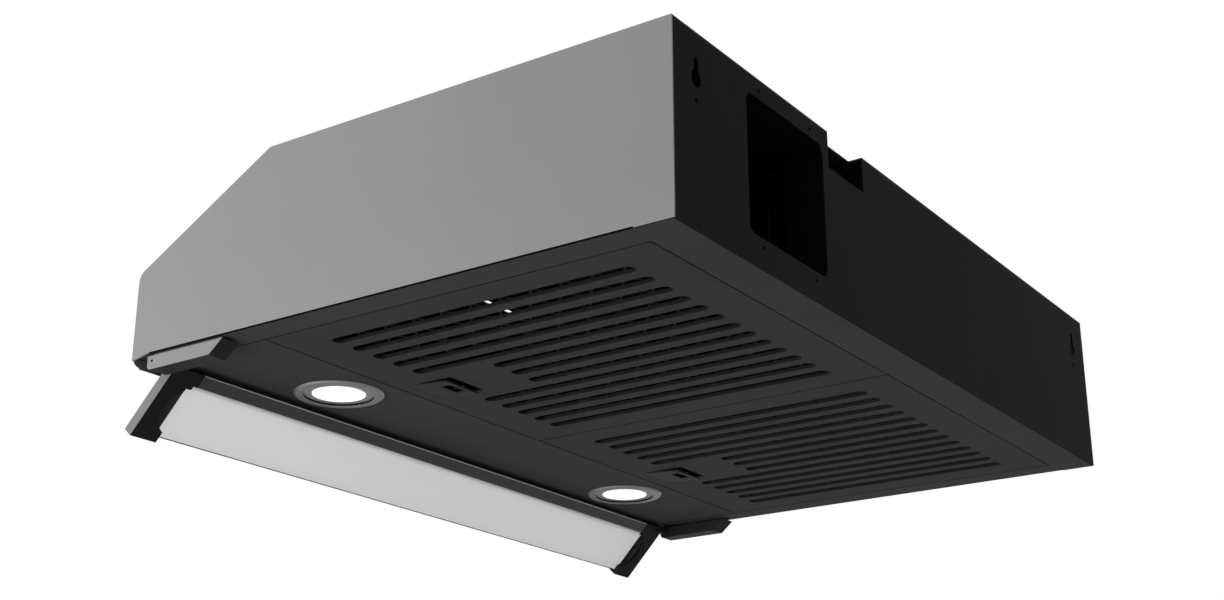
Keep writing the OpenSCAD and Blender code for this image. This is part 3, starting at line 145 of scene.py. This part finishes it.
def powderCoat(name, light, dark, roughness, specular):
    # polyester powder baked on sheet steel: faint orange peel, a broad soft sheen, barely uneven colour
    material, tree = newMaterial(name)
    where = addNode(tree, "ShaderNodeTexCoord").outputs["Object"]
    cloud = addNode(tree, "ShaderNodeTexNoise", {"Scale": 1 / (coatLook["cloud"] * mm), "Detail": 3.0},
                    {"Vector": where})
    peel = addNode(tree, "ShaderNodeTexNoise", {"Scale": 1 / (coatLook["peel"] * mm), "Detail": 1.5},
                   {"Vector": where})
    colour = addNode(tree, "ShaderNodeValToRGB", {"ramp": [(0.35, dark), (0.65, light)]},
                     {"Fac": cloud.outputs["Fac"]})
    gloss = addNode(tree, "ShaderNodeMapRange", {"To Min": roughness - 0.05, "To Max": roughness + 0.06},
                    {"Value": peel.outputs["Fac"]})
    relief = addNode(tree, "ShaderNodeBump", {"Strength": 0.5, "Distance": coatLook["peelHeight"] * mm},
                     {"Height": peel.outputs["Fac"]})
    coat = addNode(tree, "ShaderNodeBsdfPrincipled", {"Specular IOR Level": specular, "IOR": 1.5},
                   {"Base Color": colour.outputs["Color"], "Roughness": gloss.outputs["Result"],
                    "Normal": relief.outputs["Normal"]})
    addNode(tree, "ShaderNodeOutputMaterial", None, {"Surface": coat.outputs["BSDF"]})
    return material


def mouldedPlastic(name, light, dark, roughness, specular=0.35, grain=mouldLook["grain"],
                   grainHeight=mouldLook["grainHeight"]):
    # injection moulded plastic with a spark-eroded grain: small pits that break up the gloss
    material, tree = newMaterial(name)
    where = addNode(tree, "ShaderNodeTexCoord").outputs["Object"]
    # real grain is near 0.1 mm, drawn coarser so that it shows
    pits = addNode(tree, "ShaderNodeTexVoronoi", {"Scale": 1 / (grain * mm), "feature": "SMOOTH_F1"},
                   {"Vector": where})
    shade = addNode(tree, "ShaderNodeTexNoise", {"Scale": 1 / (mouldLook["shade"] * mm), "Detail": 2.0},
                    {"Vector": where})
    colour = addNode(tree, "ShaderNodeValToRGB", {"ramp": [(0.3, dark), (0.7, light)]},
                     {"Fac": shade.outputs["Fac"]})
    gloss = addNode(tree, "ShaderNodeMapRange", {"To Min": roughness - 0.04, "To Max": roughness + 0.08},
                    {"Value": pits.outputs["Distance"]})
    relief = addNode(tree, "ShaderNodeBump", {"Strength": 0.4, "Distance": grainHeight * mm},
                     {"Height": pits.outputs["Distance"]})
    skin = addNode(tree, "ShaderNodeBsdfPrincipled", {"Specular IOR Level": specular, "IOR": 1.5},
                   {"Base Color": colour.outputs["Color"], "Roughness": gloss.outputs["Result"],
                    "Normal": relief.outputs["Normal"]})
    addNode(tree, "ShaderNodeOutputMaterial", None, {"Surface": skin.outputs["BSDF"]})
    return material


def workedMetal(name, light, dark, roughness, grain=lineLook["drawn"], metallic=1.0):
    # bare or plated metal: fine drawn or rolled lines along one axis, satin
    material, tree = newMaterial(name)
    where = addNode(tree, "ShaderNodeTexCoord").outputs["Object"]
    along = addNode(tree, "ShaderNodeMapping", {"Scale": [1 / (v * mm) for v in grain]}, {"Vector": where})
    lines = addNode(tree, "ShaderNodeTexNoise", {"Scale": 1.0, "Detail": 4.0},
                    {"Vector": along.outputs["Vector"]})
    colour = addNode(tree, "ShaderNodeValToRGB", {"ramp": [(0.3, dark), (0.7, light)]},
                     {"Fac": lines.outputs["Fac"]})
    gloss = addNode(tree, "ShaderNodeMapRange", {"To Min": roughness - 0.08, "To Max": roughness + 0.08},
                    {"Value": lines.outputs["Fac"]})
    relief = addNode(tree, "ShaderNodeBump", {"Strength": 0.4, "Distance": lineLook["height"] * mm},
                     {"Height": lines.outputs["Fac"]})
    metal = addNode(tree, "ShaderNodeBsdfPrincipled", {"Metallic": metallic},
                    {"Base Color": colour.outputs["Color"], "Roughness": gloss.outputs["Result"],
                     "Normal": relief.outputs["Normal"]})
    addNode(tree, "ShaderNodeOutputMaterial", None, {"Surface": metal.outputs["BSDF"]})
    return material


def turnedRing(name, centre, light, dark, roughness):
    # lathe-turned ring: circular tool lines about its own centre, satin
    material, tree = newMaterial(name)
    where = addNode(tree, "ShaderNodeTexCoord").outputs["Object"]
    centred = addNode(tree, "ShaderNodeMapping", {"Location": (-centre.x, -centre.y, 0)}, {"Vector": where})
    lines = addNode(tree, "ShaderNodeTexWave",
                    {"wave_type": "RINGS", "rings_direction": "Z", "Distortion": 0.6, "Detail": 2.0,
                     "Scale": 1 / (turnLook["groove"] * mm) / math.tau},
                    {"Vector": centred.outputs["Vector"]})
    colour = addNode(tree, "ShaderNodeValToRGB", {"ramp": [(0.2, dark), (0.8, light)]},
                     {"Fac": lines.outputs["Fac"]})
    relief = addNode(tree, "ShaderNodeBump", {"Strength": 0.3, "Distance": turnLook["height"] * mm},
                     {"Height": lines.outputs["Fac"]})
    metal = addNode(tree, "ShaderNodeBsdfPrincipled", {"Metallic": 0.85, "Roughness": roughness},
                    {"Base Color": colour.outputs["Color"], "Normal": relief.outputs["Normal"]})
    addNode(tree, "ShaderNodeOutputMaterial", None, {"Surface": metal.outputs["BSDF"]})
    return material


def frostedGlass(name, body, roughness, transmission):
    # acid-etched float glass: milky, soft, with a faint mottle from the acid bath
    material, tree = newMaterial(name)
    where = addNode(tree, "ShaderNodeTexCoord").outputs["Object"]
    mottle = addNode(tree, "ShaderNodeTexNoise", {"Scale": 1 / (glassLook["mottle"] * mm), "Detail": 3.0},
                     {"Vector": where})
    gloss = addNode(tree, "ShaderNodeMapRange", {"To Min": roughness - 0.05, "To Max": roughness + 0.05},
                    {"Value": mottle.outputs["Fac"]})
    glass = addNode(tree, "ShaderNodeBsdfPrincipled",
                    {"Base Color": toLinear(body), "Transmission Weight": transmission, "IOR": 1.5,
                     "Specular IOR Level": 0.4},
                    {"Roughness": gloss.outputs["Result"]})
    addNode(tree, "ShaderNodeOutputMaterial", None, {"Surface": glass.outputs["BSDF"]})
    return material


def litOpal(name, body, light, glow):
    # opal acrylic lens, lit from behind: even white, a little softer towards its grain
    material, tree = newMaterial(name)
    where = addNode(tree, "ShaderNodeTexCoord").outputs["Object"]
    haze = addNode(tree, "ShaderNodeTexNoise", {"Scale": 1 / (glassLook["haze"] * mm), "Detail": 1.0},
                   {"Vector": where})
    gloss = addNode(tree, "ShaderNodeMapRange", {"To Min": 0.35, "To Max": 0.45},
                    {"Value": haze.outputs["Fac"]})
    opal = addNode(tree, "ShaderNodeBsdfPrincipled",
                   {"Base Color": toLinear(body), "Emission Color": toLinear(light),
                    "Emission Strength": glow, "IOR": 1.49, "Specular IOR Level": 0.2},
                   {"Roughness": gloss.outputs["Result"]})
    addNode(tree, "ShaderNodeOutputMaterial", None, {"Surface": opal.outputs["BSDF"]})
    return material


# powder-coated sheet steel: near black, and mid grey on the end panels
blackCoat = powderCoat("blackPowderCoat", "#262627", "#232324", 0.5, 0.1)
rearCoat = powderCoat("rearPowderCoat", "#1a1a1a", "#171718", 0.6, 0.02)
underCoat = powderCoat("undersidePowderCoat", "#3f3f3f", "#3c3c3d", 0.6, 0.03)
filterCoat = powderCoat("filterPowderCoat", "#3b3b3b", "#383839", 0.6, 0.03)
greyCoat = powderCoat("greyPowderCoat", "#8f8f90", "#8d8d8e", 0.45, 0.15)
# the same coat painted paler or darker for light and shade: painted light on the lip's back, painted shade
# on the slots' walls and in the gaps
lipLightPaint = powderCoat("paintedLipLight", "#6e6e6f", "#6a6a6b", 0.6, 0.05)
slotWallShadePaint = powderCoat("paintedSlotWallShade", "#272727", "#242425", 0.6, 0.02)
gapShadePaint = powderCoat("paintedGapShade", "#0e0e0f", "#0c0c0d", 0.6, 0.02)
# matt black finishes that hardly reflect: the impeller's paint, and blackened steel, which also paints the
# shade at the lamp rings' steps
impellerPaint = powderCoat("impellerBlackPaint", "#0c0c0d", "#0a0a0b", 0.7, 0.02)
blackOxideAndStepShade = powderCoat("blackOxideAndStepShade", "#0b0b0c", "#09090a", 0.7, 0.02)
# moulded ABS: fine-grained and satin, smoother on the bezel and the buttons
blackAbs = mouldedPlastic("blackAbs", "#232324", "#202021", 0.5, 0.06)
cheekAbs = mouldedPlastic("cheekAbs", "#2c2c2e", "#29292a", 0.5, 0.06)
greyAbs = mouldedPlastic("greyAbs", "#8d8d8e", "#88888a", 0.45, 0.15)
armGrey = mouldedPlastic("armGrey", "#7d7d7e", "#78787a", 0.45, 0.15)
bezelAbs = mouldedPlastic("bezelAbs", "#1d1d1e", "#19191a", 0.3, grainHeight=0.004)
buttonAbs = mouldedPlastic("buttonAbs", "#8e8e90", "#88888a", 0.4, grainHeight=0.006)
# other plastics: dull nylon and polypropylene, glossier leads and capacitor, dead matt rubber
latchNylon = mouldedPlastic("latchNylon", "#363637", "#333334", 0.5, 0.04)
terminalNylon = mouldedPlastic("terminalNylon", "#e6e2d4", "#ddd9ca", 0.5)
blowerPolypropylene = mouldedPlastic("blowerPolypropylene", "#0f0f10", "#0c0c0d", 0.6, 0.03, grain=1.5)
boardLaminate = mouldedPlastic("boardLaminate", "#2f5d3a", "#2a5334", 0.5)
leadPvc = mouldedPlastic("leadPvc", "#dcdcdc", "#d2d2d2", 0.45)
capacitorCan = mouldedPlastic("capacitorCan", "#c2c2c6", "#bababe", 0.35)
grommetRubber = mouldedPlastic("grommetRubber", "#161616", "#131313", 0.75, grain=0.6)
# metals: lines along the rail and round the motor, rolled expanded metal, and cast or sintered grain
railAnodised = workedMetal("railAnodised", "#4a4a4b", "#414142", 0.38, (40, 0.6, 0.6), metallic=0.6)
# a pale colour on the rail's upper corner: a painted highlight
paintedRailHighlight = workedMetal("paintedRailHighlight", "#dcdddf", "#cfd0d2", 0.4, (40, 0.6, 0.6), metallic=0.2)
zincPlate = workedMetal("zincPlate", "#b9babc", "#a9aaac", 0.35)
meshAluminium = workedMetal("meshAluminium", "#161617", "#111112", 0.6, metallic=0.5)
castAlloy = workedMetal("castAlloy", "#5a5a5c", "#505052", 0.55, (2, 2, 2))
motorSteel = workedMetal("motorSteel", "#8c8c90", "#7e7e82", 0.4, (40, 40, 0.6))
sinteredBronze = workedMetal("sinteredBronze", "#a9824c", "#957140", 0.5, (0.6, 0.6, 0.6))
ringSeat = workedMetal("ringSeat", "#a6a7a9", "#9d9ea0", 0.5, (2, 2, 2), metallic=0.8)
# glass and lenses: etched glass with a dark ground edge, and opal acrylic that glows
visorGlass = frostedGlass("etchedGlass", "#fafafa", 0.35, 0.68)
groundEdge = mouldedPlastic("groundGlassEdge", "#202122", "#1b1c1d", 0.6, 0.05, grain=0.5)
lensOpal = litOpal("opalAcrylic", "#6e6e6e", "#ffffff", 1.0)
ringSteel = {side: turnedRing(side + "TurnedSteel", lampCentre[side], "#98999b", "#8a8b8d", 0.38)
             for side in sides}
print("materials made")

finishes = {
    "canopy_shell": blackCoat, "left_end_panel": greyCoat, "right_end_panel": greyCoat,
    "back_panel": rearCoat, "underside_frame": underCoat, "light_panel": underCoat,
    "left_lamp_ring": ringSteel["left"], "right_lamp_ring": ringSteel["right"],
    "left_lamp_lens": lensOpal, "right_lamp_lens": lensOpal,
    "left_lamp_body": castAlloy, "right_lamp_body": castAlloy,
    "left_cheek": cheekAbs, "right_cheek": cheekAbs, "cheek_screws": zincPlate, "visor_pins": blackOxideAndStepShade,
    "visor_rail": railAnodised, "visor_glass": visorGlass,
    "left_visor_arm": blackAbs, "right_visor_arm": blackAbs,
    "left_filter_face": filterCoat, "right_filter_face": filterCoat,
    "left_filter_mesh": meshAluminium, "right_filter_mesh": meshAluminium,
    "left_filter_latch": latchNylon, "right_filter_latch": latchNylon,
    "left_latch_guide": blackOxideAndStepShade, "right_latch_guide": blackOxideAndStepShade,
    "left_latch_spring": zincPlate, "right_latch_spring": zincPlate,
    "blower_housing": blowerPolypropylene, "blower_cover": blowerPolypropylene,
    "inlet_guard": blowerPolypropylene, "impeller": impellerPaint, "impeller_hub": castAlloy,
    "impeller_blades": impellerPaint, "impeller_ring": impellerPaint, "motor_shaft": zincPlate,
    "impeller_nut": sinteredBronze, "motor_can": motorSteel, "motor_bearings": sinteredBronze,
    "motor_grommets": grommetRubber, "motor_nuts": zincPlate, "blower_screws": zincPlate,
    "control_bezel": bezelAbs, "control_board": boardLaminate, "button_light": buttonAbs,
    "button_off": buttonAbs, "button_low": buttonAbs, "button_medium": buttonAbs, "button_high": buttonAbs,
    "power_box": blackAbs, "power_box_lid": blackAbs, "capacitor": capacitorCan,
    "terminal_block": terminalNylon, "cable_gland": blackAbs, "lamp_leads": leadPvc,
    "motor_lead": leadPvc, "control_lead": leadPvc}


def dress(piece, material):
    piece.data.materials.clear()
    piece.data.materials.append(material)


for name, piece in nodes.items():
    dress(piece, finishes[name])
print("nodes dressed:", len(nodes))

# how wide each visible piece's edges are rounded, in mm
softEdges = {
    "canopy_shell": 0.3, "left_end_panel": 0.4, "right_end_panel": 0.4, "back_panel": 0.12,
    "underside_frame": 0.3, "light_panel": 0.25, "left_cheek": 0.5, "right_cheek": 0.5,
    "left_visor_arm": 0.35, "right_visor_arm": 0.35, "visor_rail": 0.6, "visor_glass": 1.2,
    "left_filter_face": 0.22, "right_filter_face": 0.22,
    "left_filter_latch": 0.25, "right_filter_latch": 0.25,
    "left_lamp_ring": 0.25, "right_lamp_ring": 0.25, "control_bezel": 0.4}
# how a copy is merged, joined, rounded and shaded: weld in mm, the others in degrees
rounding = {"weld": 0.001, "flatBelow": 0.6, "edgeAbove": 35, "creaseAbove": 50, "segments": 2}
# the round of the filters' slots, wider than that of the cut edges, in mm
slotRoll = {"width": 0.6, "rim": 6.0, "level": 0.3, "segments": 3}


def sharpEdges(shape):
    limit = math.radians(rounding["edgeAbove"])
    return [e for e in shape.edges if len(e.link_faces) == 2 and e.calc_face_angle() > limit]


def rollSlots(shape, name):
    # rounds the lower edges of the slots, and leaves the rim and the latch window sharp
    low, high = boxCorners(name)
    window = boxCorners(name.replace("face", "latch"))
    rim = slotRoll["rim"] * mm

    def onSlot(place):
        inside = low.x + rim < place.x < high.x - rim and low.y + rim < place.y < high.y - rim
        atWindow = window[0].x - rim < place.x < window[1].x + rim and place.y < window[1].y + rim
        return inside and not atWindow and place.z < low.z + slotRoll["level"] * mm

    mouths = [e for e in sharpEdges(shape) if all(onSlot(v.co) for v in e.verts)]
    bmesh.ops.bevel(shape, geom=mouths, offset=slotRoll["width"] * mm, offset_type="OFFSET", affect="EDGES",
                    segments=slotRoll["segments"], profile=0.5, material=-1, clamp_overlap=True)
    print(name, "slot edges rolled:", len(mouths))


# the open visor turned flat about its hinge, as it lies when it is closed
hinge = joints["visor_hinge"]
flatTurn = Matrix.Rotation(math.radians(hinge["range_deg"][1]), 4, "X")
toClosed = flatTurn @ Matrix.Translation(-Vector(hinge["pos_m"]))
toOpen = toClosed.inverted()
# the thumb scoop in each arm, in mm from the hinge on the flat visor, and its depths below the arm's back
scoop = {"openEdge": 264.0, "wide": 7.1, "floor": -2.7, "armBack": 0.7, "rimDepth": 2.0, "edgeDepth": 0.4,
         "near": 0.05}


def slopeScoop(shape):
    # the scoop's floor rises from its round wall to its open edge, as in the photo
    moved = 0
    for vert in shape.verts:
        place = toClosed @ vert.co
        across = abs(place.x) / mm - scoop["openEdge"]
        if abs(place.z / mm - scoop["floor"]) < scoop["near"] and across > -scoop["near"]:
            share = across / scoop["wide"]
            depth = scoop["edgeDepth"] + (scoop["rimDepth"] - scoop["edgeDepth"]) * share
            place.z = (scoop["armBack"] - depth) * mm
            vert.co = toOpen @ place
            moved += 1
    print("scoop floor points moved:", moved)


# the end panels' lower edges dip at the front, over the ends of the lip, as in the photo, in mm
nose = {"long": 15.0, "drop": 3.0, "edge": 0.9}


def dipNose(shape, name):
    start = boxCorners(name)[0].y + nose["long"] * mm
    bmesh.ops.bisect_plane(shape, geom=shape.verts[:] + shape.edges[:] + shape.faces[:],
                           dist=rounding["weld"] * mm, plane_co=(0, start, 0), plane_no=(0, 1, 0))
    for vert in shape.verts:
        share = (start - vert.co.y) / (nose["long"] * mm)
        if share > 0 and vert.co.z - underside < nose["edge"] * mm:
            vert.co.z -= nose["drop"] * share * mm


def soften(name, width):
    # a merged copy of the node, its coplanar triangles joined and its sharp edges rounded
    shape = bmesh.new()
    shape.from_mesh(nodes[name].data)
    bmesh.ops.remove_doubles(shape, verts=shape.verts, dist=rounding["weld"] * mm)
    bmesh.ops.dissolve_limit(shape, angle_limit=math.radians(rounding["flatBelow"]), verts=shape.verts,
                             edges=shape.edges)
    if name.endswith("filter_face"):
        rollSlots(shape, name)
    if name.endswith("visor_arm"):
        slopeScoop(shape)
    if name.endswith("end_panel"):
        dipNose(shape, name)
    bmesh.ops.bevel(shape, geom=sharpEdges(shape), offset=width * mm, offset_type="OFFSET", affect="EDGES",
                    segments=rounding["segments"], profile=0.5, material=-1, clamp_overlap=True)
    mesh = bpy.data.meshes.new(name + "Soft")
    shape.to_mesh(mesh)
    shape.free()
    for face in mesh.polygons:
        face.use_smooth = True
    mesh.set_sharp_from_angle(angle=math.radians(rounding["creaseAbove"]))
    piece = bpy.data.objects.new(name + "Soft", mesh)
    bpy.context.collection.objects.link(piece)
    flats = piece.modifiers.new("flatFaces", "WEIGHTED_NORMAL")  # large faces stay flat beside the rounds
    flats.mode = "FACE_AREA"
    flats.weight = 100
    flats.keep_sharp = True
    dress(piece, finishes[name])
    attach(piece, nodes[name]["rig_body"])
    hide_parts(name)
    return piece


softPieces = {name: soften(name, width) for name, width in softEdges.items()}
print("edges softened:", len(softPieces))

# each latch spring is swapped for a copy with its own mesh, on the same body
for side in sides:
    name, slide = side + "_latch_spring", side + "_latch_slide"
    low, high = boxCorners(name)
    coil = bpy.data.objects.new(name + "Live", nodes[name].data.copy())
    bpy.context.collection.objects.link(coil)
    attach(coil, nodes[name]["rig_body"])
    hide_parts(name)
    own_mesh(coil)


def tint(name, material, picks):
    # a second material on the faces that picks(normal, corners) chooses
    mesh = softPieces[name].data
    mesh.materials.append(material)
    chosen = [face for face in mesh.polygons
              if picks(face.normal, [mesh.vertices[v].co for v in face.vertices])]
    for face in chosen:
        face.material_index = len(mesh.materials) - 1
    print(name, "tinted faces:", len(chosen))


# where the second finishes and the painted light and shade lie: places in mm, and a lean is the share of a
# face's normal along an axis
greySides = {"from": 280.0, "lean": 0.9}
scoopFloors = {"below": 0.45, "lean": 0.9}
cutEdges = {"from": 299.0, "lean": 0.6}
lampSeat = {"radius": 23.4, "wallRadius": 23.3, "wallNear": 0.4, "wallLean": 0.5}
slotWalls = {"lean": 0.8}
gapWalls = {"near": 0.5, "lean": 0.95}
visorEdges = {"railLean": 0.9, "glassLean": 0.1}
lipBack = {"lean": 0.9}
openTurn = toOpen.to_3x3()
glassEnd, glassBack = openTurn @ Vector((0, 1, 0)), openTurn @ Vector((0, 0, 1))
railCorner = openTurn @ Vector((0, -1, 1)).normalized()


def onGap(n, corners):
    return abs(n.z) < gapWalls["lean"]


for side, s in sides.items():
    centre = lampCentre[side]
    low, high = boxCorners(side + "_filter_face")

    def onOuterSide(n, corners):
        return n.x * s > greySides["lean"] and corners[0].x * s > greySides["from"] * mm

    def onScoopFloor(n, corners):
        top = max((toClosed @ c).z for c in corners)
        return n.dot(glassBack) > scoopFloors["lean"] and top < scoopFloors["below"] * mm

    def onCutEdge(n, corners):
        return corners[0].x * s > cutEdges["from"] * mm and n.z < -cutEdges["lean"]

    def fromLamp(corner):
        return math.hypot(corner.x - centre.x, corner.y - centre.y)

    def onSeat(n, corners):
        return all(fromLamp(c) < lampSeat["radius"] * mm for c in corners)

    def onSeatWall(n, corners):
        wall, near = lampSeat["wallRadius"] * mm, lampSeat["wallNear"] * mm
        return abs(n.z) < lampSeat["wallLean"] and all(abs(fromLamp(c) - wall) < near for c in corners)

    def onRim(n, corners):
        toRim = [min(c.x - low.x, high.x - c.x, c.y - low.y, high.y - c.y) for c in corners]
        return onGap(n, corners) and max(toRim) < gapWalls["near"] * mm

    # the outer sides of cheeks and arms are grey like the end panels, the scoops lighter than the arms
    tint(side + "_cheek", greyAbs, onOuterSide)
    tint(side + "_visor_arm", armGrey, onOuterSide)
    tint(side + "_visor_arm", latchNylon, onScoopFloor)
    # painted shade: a dark line along the end panels' lower edges, and dark walls in the slots and in the
    # gaps round the filters
    tint(side + "_end_panel", gapShadePaint, onCutEdge)
    tint(side + "_filter_face", slotWallShadePaint, lambda n, corners: abs(n.z) < slotWalls["lean"])
    tint(side + "_filter_face", gapShadePaint, onRim)
    # each lamp ring has a paler seat for its lens, and a black line of painted shade at the step round it
    tint(side + "_lamp_ring", ringSeat, onSeat)
    tint(side + "_lamp_ring", blackOxideAndStepShade, onSeatWall)

# painted shade on the walls of the gaps in the light panel and the underside frame
for name in ("light_panel", "underside_frame"):
    tint(name, gapShadePaint, onGap)
# a painted highlight on the rail's upper corner, the glass's lower edge dark, and painted light on the lip's
# back
tint("visor_rail", paintedRailHighlight, lambda n, corners: n.dot(railCorner) > visorEdges["railLean"])
tint("visor_glass", groundEdge,
     lambda n, corners: min(n.dot(glassEnd), n.dot(glassBack)) > visorEdges["glassLean"])
tint("canopy_shell", lipLightPaint,
     lambda n, corners: n.y > lipBack["lean"] and min(c.z for c in corners) < underside)
print("faces tinted")

# studio
studio = {"floorZ": -1.1, "floorSize": 8.0, "floorColour": "#e9e9e9", "worldLight": 0.46}
floorMesh = bmesh.new()
bmesh.ops.create_grid(floorMesh, x_segments=1, y_segments=1, size=studio["floorSize"] / 2)
floorData = bpy.data.meshes.new("studioFloor")
floorMesh.to_mesh(floorData)
floorMesh.free()
floorData.transform(Matrix.Translation((0, 0, studio["floorZ"])))
floor = bpy.data.objects.new("studioFloor", floorData)
bpy.context.collection.objects.link(floor)

# pale floor that lets light and views from below through
floorLook, floorTree = newMaterial("palePaper")
paper = addNode(floorTree, "ShaderNodeBsdfDiffuse", {"Color": toLinear(studio["floorColour"])})
clear = addNode(floorTree, "ShaderNodeBsdfTransparent")
facing = addNode(floorTree, "ShaderNodeNewGeometry")
floorMix = addNode(floorTree, "ShaderNodeMixShader", None,
                   {"Fac": facing.outputs["Backfacing"], 1: paper.outputs["BSDF"], 2: clear.outputs["BSDF"]})
addNode(floorTree, "ShaderNodeOutputMaterial", None, {"Surface": floorMix.outputs["Shader"]})
floorData.materials.append(floorLook)

# white backdrop at full strength where it is seen, and softer where it only lights the hood
world = bpy.data.worlds.new("studioWorld")
bpy.context.scene.world = world
world.use_nodes = True
sky = world.node_tree
sky.nodes.clear()
path = addNode(sky, "ShaderNodeLightPath")
seen = path.outputs["Is Camera Ray"]
for ray in ("Is Glossy Ray", "Is Transmission Ray"):
    either = addNode(sky, "ShaderNodeMath", {"operation": "MAXIMUM"}, {0: seen, 1: path.outputs[ray]})
    seen = either.outputs["Value"]
level = addNode(sky, "ShaderNodeMapRange", {"To Min": studio["worldLight"], "To Max": 1.0}, {"Value": seen})
backdrop = addNode(sky, "ShaderNodeBackground", {"Color": toLinear("#ffffff")},
                   {"Strength": level.outputs["Result"]})
addNode(sky, "ShaderNodeOutputWorld", None, {"Surface": backdrop.outputs["Background"]})

# square soft lights: places, aims and sizes in metres, power in watts
softboxes = {
    "keyBox": {"place": (1.45, -1.35, -0.45), "aim": (0.3, -0.25, -0.06), "size": 0.9, "power": 20},
    "fillBox": {"place": (1.25, -0.85, -0.55), "aim": (0, -0.2, -0.1), "size": 1.0, "power": 3}}
for name, box in softboxes.items():
    lightData = bpy.data.lights.new(name, "AREA")
    lightData.shape = "SQUARE"
    lightData.size = box["size"]
    lightData.energy = box["power"]
    light = bpy.data.objects.new(name, lightData)
    light.matrix_world = pointed(box["place"], box["aim"])
    bpy.context.collection.objects.link(light)
print("studio lit")
